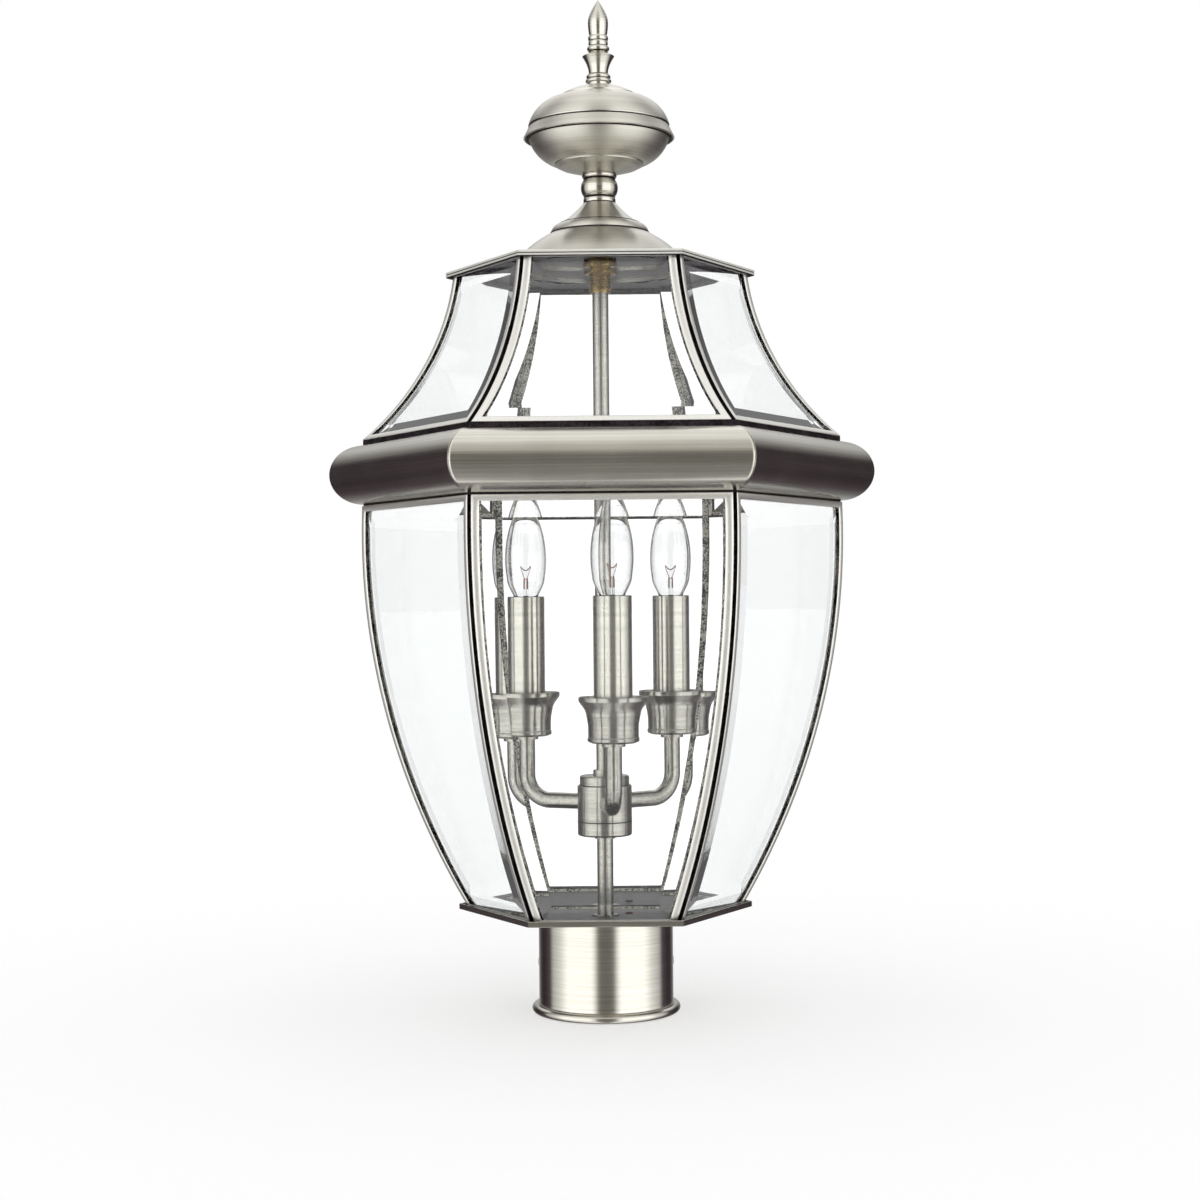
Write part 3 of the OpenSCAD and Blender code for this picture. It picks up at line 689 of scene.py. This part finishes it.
def make_band(mitre_gap=0.12, end=1.5):
    """The half-round band of six lengths. Narrow faces at each end keep the long ones evenly shaded."""
    outline = [at(BAND_A - SHEET, BAND_TOP), at(BAND_A, BAND_TOP)]
    outline += arc((BAND_A, BAND_Z), BAND_R, 90, -90, 28)
    outline += [at(BAND_A, BAND_FOOT), at(BAND_A - SHEET, BAND_FOOT)]

    def where(i, j):
        point = outline[j]
        reach = point.x * SLOPE - mitre_gap
        return Vector(((-reach, end - reach, reach - end, reach)[i], -point.x, point.z))

    def at_end(edge):
        return any(len(face.verts) > 6 for face in edge.link_faces)

    finishes = [band_nickel, groove_shade]
    band = bmesh.new()
    for n in range(SIDES):
        bm = grid(3, len(outline), where, closed_rows=True)
        close_ends(bm)
        bmesh.ops.recalc_face_normals(bm, faces=bm.faces)
        rounding(bm, 0.55, least=40, keep=at_end)
        for face in bm.faces:
            # Painted shade: the flat seat beside the rails above and below is near black
            middle = face.calc_center_median()
            recess_shade = -middle.y < BAND_A + 0.6 and abs(middle.z - BAND_Z) > BAND_R - 0.2
            face.material_index = finishes.index(groove_shade if recess_shade else band_nickel)
        to_side(bm, n)
        add_to(band, bm)
    piece("band_dressed", band, "base", finishes, ["band"])


def make_cap_plate():
    """The plate over the roof: a raised round boss in the middle of a six-sided plate with a grooved rim."""
    hole = NIPPLE_R + FIT
    outline = rounded([
        (hole, BOSS_TOP), (hole, BOSS_SOFFIT), (BOSS_R - SHEET, BOSS_SOFFIT), (BOSS_R - SHEET, PLATE_SOFFIT),
    ])
    disc = turned(outline + [at(BOSS_R, PLATE_SOFFIT), at(BOSS_R, BOSS_TOP)])

    # Painted shade on the boss's underside
    def underside(face):
        return underside_shade if face.normal.z < -0.5 else round_nickel

    piece("cap_boss", disc, "roof", [round_nickel, underside_shade], choose=underside)
    inner, skirt = BOSS_R - 0.6, PLATE_A - SHEET
    lip, floor = PLATE_A - 0.3, PLATE_A - 0.35
    outline = rounded([
        (inner, PLATE_TOP), (inner, PLATE_SOFFIT), (skirt, PLATE_SOFFIT, 0.2), (skirt, PLATE_FOOT, 0.2),
        (lip, PLATE_FOOT), (lip, RIM_FOOT), (PLATE_A, RIM_FOOT, 0.1), (PLATE_A, RIM_GROOVE, 0.1),
        (floor, RIM_GROOVE), (floor, RIM_GROOVE_TOP), (PLATE_A, RIM_GROOVE_TOP, 0.1),
        (PLATE_A, PLATE_TOP, 0.9),
    ])
    squares = [Vector((math.sin(a), -math.cos(a), 0)) for a in (0, TURN / SIDES, -TURN / SIDES)]

    # Painted shade: the rim's foot and its groove are near black and the undersides dark. Painted highlight:
    # the rim's face is the paler nickel
    def finish_of(face):
        middle = face.calc_center_median()
        if max(abs(middle.dot(square)) for square in squares) > PLATE_A - 0.7:
            in_groove = RIM_GROOVE - 0.05 < middle.z < RIM_GROOVE_TOP + 0.05
            return groove_shade if middle.z < RIM_FOOT + 0.05 or in_groove else rim_highlight_nickel
        return underside_shade if middle.z < PLATE_TOP - 0.1 else sided_nickel

    piece("cap_plate_dressed", turned(outline, facets=SIDES), "roof",
          [rim_highlight_nickel, groove_shade, underside_shade, sided_nickel], ["cap_plate"], choose=finish_of)


def make_hub():
    hole = TUBE_R + FIT
    cover = [(hole, HUB_FOOT), (6.1, HUB_FOOT, 0.3), (6.1, HUB_FOOT + 1.9), (HUB_R, HUB_FOOT + 1.9, 1.3),
             (HUB_R, HUB_BODY, 0.4), (hole, HUB_BODY)]
    drum = [(hole, HUB_BODY), (HUB_R, HUB_BODY, 0.4), (HUB_R, HUB_CAP, 0.5), (hole, HUB_CAP)]
    lid = [(hole, HUB_CAP), (14.7, HUB_CAP, 0.3), (14.7, HUB_TOP, 1.2), (hole, HUB_TOP)]
    for name, outline in (("hub_cover", cover), ("hub_body", drum), ("hub_cap", lid)):
        piece(f"{name}_dressed", turned(rounded(outline)), "base", [nickel_in_shade], [name])


def make_cup(n):
    """A drip cup: a bead at its foot, a waist, and a mouth that flares to an upright lip."""
    hole = TUBE_R + 0.15
    wall = [
        (hole, CUP_FOOT), (12.6, CUP_FOOT, 0.4), (14.7, CUP_FOOT + 1, 0.6), (14.9, CUP_FOOT + 2.7, 0.5),
        (14.4, CUP_FOOT + 3.5, 0.3), (14.5, CUP_FOOT + 10.6, 20), (16.0, CUP_TOP - 7.7, 8),
        (CUP_MOUTH, CUP_TOP - 2.5, 0.8), (CUP_MOUTH, CUP_TOP, 0.5), (CUP_MOUTH - 0.8, CUP_TOP, 0.4),
        (CUP_MOUTH - 0.9, CUP_TOP - 2, 0.8), (15.1, CUP_TOP - 7.2, 8), (13.5, CUP_FOOT + 10.8, 20),
        (13.5, CUP_FOOT + 1, 0.6), (hole, CUP_FOOT + 1),
    ]
    piece(f"cup_{n + 1}", turned(rounded(wall, 8), place=candle_place(n)), "base", [cup_nickel[n]],
          [f"candle_cup_{n + 1}"])


def make_sleeve(n):
    """A candle sleeve with its rim cut at a slant, black inside and at its mouth."""
    slant = 0.35
    wall = [(SLEEVE_R - 1, SLEEVE_FOOT), (SLEEVE_R, SLEEVE_FOOT), (SLEEVE_R, SLEEVE_TOP - slant, 0.1),
            (SLEEVE_R - slant, SLEEVE_TOP, 0.1), (SLEEVE_R - 1, SLEEVE_TOP)]
    x, y = candle_place(n)

    def lining(face):
        middle = face.calc_center_median()
        inside = middle.z > SLEEVE_TOP - 0.33 or math.hypot(middle.x - x, middle.y - y) < SLEEVE_R - 0.6
        return black_plastic if inside else candle_nickel[n]

    piece(f"sleeve_{n + 1}", turned(rounded(wall), place=(x, y)), "base", [candle_nickel[n], black_plastic],
          [f"candle_sleeve_{n + 1}"], choose=lining)


# Painted shade: dark rings set into the crevices where turned parts meet, on each body: the radius, the
# height of the middle and the width
SHADE_LINE_DEPTH = 0.8
SHADE_LINES = {
    "base": [(HUB_R + 0.06, HUB_BODY, 0.5), (15.0, HUB_CAP + 0.15, 0.4)],
    "roof": [(29.45, 460.25, 0.4), (23.95, 465.95, 0.35)],
    "ball_stack": [
        (9.6, BELL_TOP + 0.15, 0.6), (9.3, 481.35, 0.7), (9.5, 492.75, 0.7), (9.95, NECK_TOP, 0.35),
        (42.4, 516.1, 0.7), (41.8, 523.3, 0.5), (22.85, 540.5, 0.4),
    ],
    "finial_body": [
        (6.6, BALL_TOP + 0.25, 0.4), (6.75, 551.7, 0.4), (6.3, 554.3, 0.4), (5.6, 568.15, 0.4),
        (5.6, 571.2, 0.35), (5.6, 574.35, 0.35),
    ],
}


def make_shade_lines():
    for body, shade_lines in SHADE_LINES.items():
        lines = bmesh.new()
        for r, z, wide in shade_lines:
            floor, low, high = r - SHADE_LINE_DEPTH, z - wide / 2, z + wide / 2
            add_to(lines, turned([at(floor, low), at(r, low), at(r, high), at(floor, high)]))
        piece(f"seams_{body}", lines, body, [groove_shade])


# Threads, nuts and screws
def thread(inner, outer, foot, head, pitch, steps=24, place=(0, 0)):
    """A screw thread: its section turned about the axis while it climbs."""
    bm = bmesh.new()
    section = [at(inner, 0), at(inner, pitch * 0.9), at(outer, pitch * 0.6), at(outer, pitch * 0.3)]
    verts = [bm.verts.new((p.x, 0, foot + p.z)) for p in section]
    edges = [bm.edges.new((verts[i - 1], verts[i])) for i in range(len(verts))]
    turns = (head - foot - pitch) / pitch
    count = round(turns * steps)
    bmesh.ops.spin(bm, geom=verts + edges, cent=(0, 0, 0), axis=(0, 0, 1), angle=turns * TURN,
                   steps=count, dvec=(0, 0, pitch / steps))
    close_ends(bm)
    bm = settled(bm)
    bmesh.ops.translate(bm, verts=bm.verts, vec=(*place, 0))
    return bm


def hex_nut(bore, corner, foot, head):
    """A nut with its corners turned off at both faces."""
    flat = corner * math.cos(HALF_SIDE)
    bm = turned([at(bore, foot), at(bore, head), at(flat, head), at(flat, foot)], facets=SIDES)
    rounding(bm, 0.35, least=25)
    return bm


def make_nipple():
    """The threaded nipple through the cap plate, with a lock nut under the plate and one over it."""
    core = NIPPLE_R - 0.55
    wall = [at(PASS_R, NIPPLE_FOOT), at(PASS_R, NIPPLE_TOP), at(core, NIPPLE_TOP), at(core, NIPPLE_FOOT)]
    piece("nipple_body", turned(wall, 48), "roof", [old_brass], ["nipple"])
    ridge = thread(core - 0.1, NIPPLE_R, NIPPLE_FOOT + 0.2, NIPPLE_TOP - 0.2, NIPPLE_PITCH)
    piece("nipple_thread", ridge, "roof", [old_brass])
    for n, foot in enumerate((BOSS_SOFFIT - NUT_HEIGHT, BOSS_TOP)):
        nut = hex_nut(NIPPLE_R + FIT, NUT_CORNER, foot, foot + NUT_HEIGHT)
        piece(f"lock_nut_{n + 1}", nut, "roof", [old_brass], ["lock_nuts"] if n == 0 else [])


def make_ground_screw():
    """The small brown screw in the tray's floor, at the back."""
    place, r = (14.2, 19.3), 2.2
    head = rounded([(0, TRAY_FLOOR), (r, TRAY_FLOOR), (r, TRAY_FLOOR + 1.1, 0.6), (0, TRAY_FLOOR + 1.3)])
    piece("ground_screw", turned(head, 32, place), "base", [screw_brown])


def add_wire(bm, points, radius):
    """A round wire through points, as short cylinders with mitred joints."""
    rings = []
    for i, point in enumerate(points):
        along = (points[min(i + 1, len(points) - 1)] - points[max(i - 1, 0)]).normalized()
        turn = Vector((0, 0, 1)).rotation_difference(along).to_matrix().to_4x4()
        made = bmesh.ops.create_circle(bm, cap_ends=i in (0, len(points) - 1), segments=8, radius=radius,
                                       matrix=Matrix.Translation(point) @ turn)
        rings.append(list(made["verts"]))
    for pair in zip(rings, rings[1:]):
        edges = [e for e in bm.edges if any(e.verts[0] in ring and e.verts[1] in ring for ring in pair)]
        bmesh.ops.bridge_loops(bm, edges=edges)


def make_filament(n):
    """The clear stem inside a bulb, with its copper tips, its two leads and the filament between them."""
    place = candle_place(n)
    body = f"bulb_{n + 1}"
    stem = rounded([
        (0, STEM_FOOT), (3.6, STEM_FOOT), (3.2, STEM_FOOT + 1.6, 0.8), (1.5, STEM_FOOT + 4, 1.5),
        (1.5, STEM_TOP, 0.6), (0, STEM_TOP + 0.4),
    ])
    piece(f"bulb_stem_{n + 1}", turned(stem, 32, place), body, [bulb_glass])
    axis = Vector((*place, 0))
    turn = 0.5 - 0.4 * n
    side = Vector((math.cos(turn), math.sin(turn), 0))

    def beside(out, rise):
        """A point out from the bulb's axis, up from the stem's top."""
        return axis + side * out + Vector((0, 0, STEM_TOP + rise))

    leads = bmesh.new()
    for hand in (-1, 1):
        tip = hand * TIP_OUT
        add_wire(leads, [beside(tip, -5.5), beside(tip, 0.9)], TIP_WIRE)
        add_wire(leads, [beside(tip, 0.8), beside(hand * 1.2, 1.8), beside(hand * 3.1, 7),
                         beside(hand * FILAMENT_REACH, FILAMENT_RISE)], LEAD_WIRE)
    piece(f"bulb_leads_{n + 1}", leads, body, [copper], smooth=60)
    hoop = bmesh.new()
    shares = [-1 + k / 5 for k in range(11)]
    add_wire(hoop, [beside(FILAMENT_REACH * t, FILAMENT_RISE - FILAMENT_SAG * (1 - t * t)) for t in shares],
             FILAMENT_WIRE)
    piece(f"bulb_filament_{n + 1}", hoop, body, [filament_metal], smooth=60)


def make_screw_cap(n):
    """A bulb's screw cap, with its rolled thread and its contact."""
    place = candle_place(n)
    body = f"bulb_{n + 1}"
    core, contact = CAP_R - 0.75, 2.4
    shell = rounded([
        (0, CAP_FOOT), (contact, CAP_FOOT, 0.5), (contact, CAP_FOOT + 0.9), (core, CAP_FOOT + 2.4, 0.6),
        (core, BULB_FOOT - 1.2, 0.4), (CAP_R, BULB_FOOT - 0.7, 0.2), (CAP_R, BULB_FOOT, 0.1), (0, BULB_FOOT),
    ])
    piece(f"bulb_cap_{n + 1}", turned(shell, 48, place), body, [cap_metal],
          [f"bulb_base_{n + 1}"])
    ridge = thread(core - 0.1, CAP_R - 0.05, CAP_FOOT + 3.2, BULB_FOOT - 2, CAP_PITCH, place=place)
    piece(f"bulb_cap_thread_{n + 1}", ridge, body, [cap_metal])


# Stage
def grey(level, tint=(1, 1, 1)):
    return colour(*(level * part for part in tint))


def make_floor():
    """A pale floor that takes shadows, is near white to the eye, and isn't mirrored in metal."""
    bm = bmesh.new()
    bmesh.ops.create_circle(bm, cap_ends=True, radius=60, segments=64)
    mesh = bpy.data.meshes.new("floor")
    bm.to_mesh(mesh)
    bm.free()
    floor = bpy.data.objects.new("floor", mesh)
    # A little under the collar's foot, so that the two don't share a plane
    floor.location.z = -0.0004
    bpy.context.scene.collection.objects.link(floor)
    material, p = new_paint("pale_floor")
    shade = p.node("ShaderNodeBsdfDiffuse", {"Color": grey(FLOOR_GREY)})
    through = p.ray("Is Transmission Ray")
    seen = p.ray("Is Camera Ray").math("MAXIMUM", through)
    mirrored = p.ray("Glossy Depth") > 0.5
    strength = seen * FLOOR_GLOW + through * FLOOR_GLOW_THROUGH
    glow = p.node("ShaderNodeEmission", {"Color": grey(1), "Strength": strength})
    pale = p.node("ShaderNodeAddShader", {0: shade, 1: glow})
    p.finish(p.node("ShaderNodeMixShader", {0: mirrored, 1: pale, 2: p.node("ShaderNodeBsdfTransparent")}))
    mesh.materials.append(material)


def make_world():
    """A white surround for the eye and for clear glass, and for metal a studio with dark gaps in it."""
    world = bpy.data.worlds.new("studio")
    bpy.context.scene.world = world
    world.use_nodes = True
    world.cycles.sampling_method = "NONE"
    p = Paint(world.node_tree)
    x, y, z = p.split(p.place("Generated"))
    level = (x * x + y * y).math("SQRT").math("MAXIMUM", 0.001)
    # 0 towards the eye, and 1 straight behind the lantern
    turn = (y * -1 / level).math("ARCCOSINE") / math.pi
    warm, plum = (1.03, 1, 0.93), (1.15, 0.9, 1.05)
    level_ring = p.node("ShaderNodeValToRGB", {"Fac": turn}, stops=[
        (0.0, grey(0.10, warm)), (0.055, grey(0.11, warm)), (0.078, grey(0.2, warm)), (0.105, grey(0.62)),
        (0.14, grey(0.95)), (0.38, grey(0.95)), (0.47, grey(0.58)), (0.57, grey(0.36)),
        (0.62, grey(0.05, plum)), (0.72, grey(0.02, plum)), (0.80, grey(0.025, plum)), (0.87, grey(0.1)),
        (0.95, grey(0.25)),
    ])
    upper_ring = p.node("ShaderNodeValToRGB", {"Fac": turn}, stops=[
        (0.0, grey(0.34, warm)), (0.10, grey(0.46)), (0.2, grey(0.7)), (0.45, grey(0.5)), (0.58, grey(0.22)),
        (0.68, grey(0.30)), (0.80, grey(0.5)), (1.0, grey(0.8)),
    ])
    lower_ring = p.node("ShaderNodeValToRGB", {"Fac": turn}, stops=[
        (0.0, grey(0.13, warm)), (0.07, grey(0.2)), (0.17, grey(0.75)), (0.45, grey(0.55)),
        (0.62, grey(0.05, plum)), (0.80, grey(0.06, plum)), (1.0, grey(0.2)),
    ])
    high = z.step(0.24, 0.58)
    low = (z * -1).step(0.2, 0.7)
    ring = p.mix(low, p.mix(high, level_ring, upper_ring), lower_ring)
    overhead = z.step(0.76, 0.98)
    studio = p.mix(overhead, ring, grey(0.62))
    through = p.ray("Is Transmission Ray")
    on_glass = p.ray("Is Singular Ray") * (1 - through)
    mirrored = (p.ray("Glossy Depth") > 0.5) * (1 - on_glass)
    diffuse = p.ray("Is Diffuse Ray") > 0.5
    surround = p.mix(through, p.mix(on_glass, grey(FOR_THE_EYE), grey(ON_GLASS)), grey(THROUGH_GLASS))
    seen = p.mix(diffuse, p.mix(mirrored, surround, studio), grey(FOR_DIFFUSE))
    background = p.node("ShaderNodeBackground", {"Color": seen, "Strength": WORLD_STRENGTH})
    p.finish(background, kind="ShaderNodeOutputWorld")


def make_camera():
    """The photograph's view: from the front, level, with the picture turned by half a degree."""
    camera = bpy.data.cameras.new("camera")
    camera.lens = 63.0
    camera.sensor_width = 36.0
    camera.shift_x = -0.0025
    camera.shift_y = 0.0025
    camera.clip_end = 100
    distance, height = 1.245, 0.2413
    eye = bpy.data.objects.new("camera", camera)
    eye.matrix_world = (Matrix.Translation((0, -distance, height)) @ Matrix.Rotation(math.radians(90), 4, "X")
                        @ Matrix.Rotation(math.radians(-0.5), 4, "Z"))
    bpy.context.scene.collection.objects.link(eye)
    bpy.context.scene.camera = eye


# The dressed pieces
make_collar()
make_tray()
make_nipple()
make_ground_screw()
for n in range(CANDLES):
    make_filament(n)
    make_screw_cap(n)
    make_sleeve(n)
    make_cup(n)
make_hub()
make_band()
make_cap_plate()
make_shade_lines()
dress_frames("cage", cage, foot_rail=2.4, head_rail=3.6, steps=40, body="base")
dress_frames("roof", roof, foot_rail=3.0, head_rail=2.4, steps=28, body="roof")
dress_panes("cage", cage, bevel=11.3, steps=48, body="base")
dress_panes("roof", roof, bevel=9.5, steps=36, body="roof")

# The solids that are shown as they are
paint_nodes(round_nickel, "neck", "finial")
paint_nodes(nickel_in_shade, "stem", "centre_rod")
paint_nodes(spun_nickel, "bell", "ball_dome")
paint_nodes(bowl_nickel, "ball_bowl")
paint_nodes(dark_steel, "set_screws")
for n in range(CANDLES):
    paint_nodes(tube_nickel, f"arm_{n + 1}")
    paint_nodes(black_plastic, f"socket_{n + 1}")
    paint_nodes(bulb_glass, f"bulb_glass_{n + 1}")

make_floor()
make_world()
make_camera()
bpy.context.scene.view_settings.view_transform = "Standard"
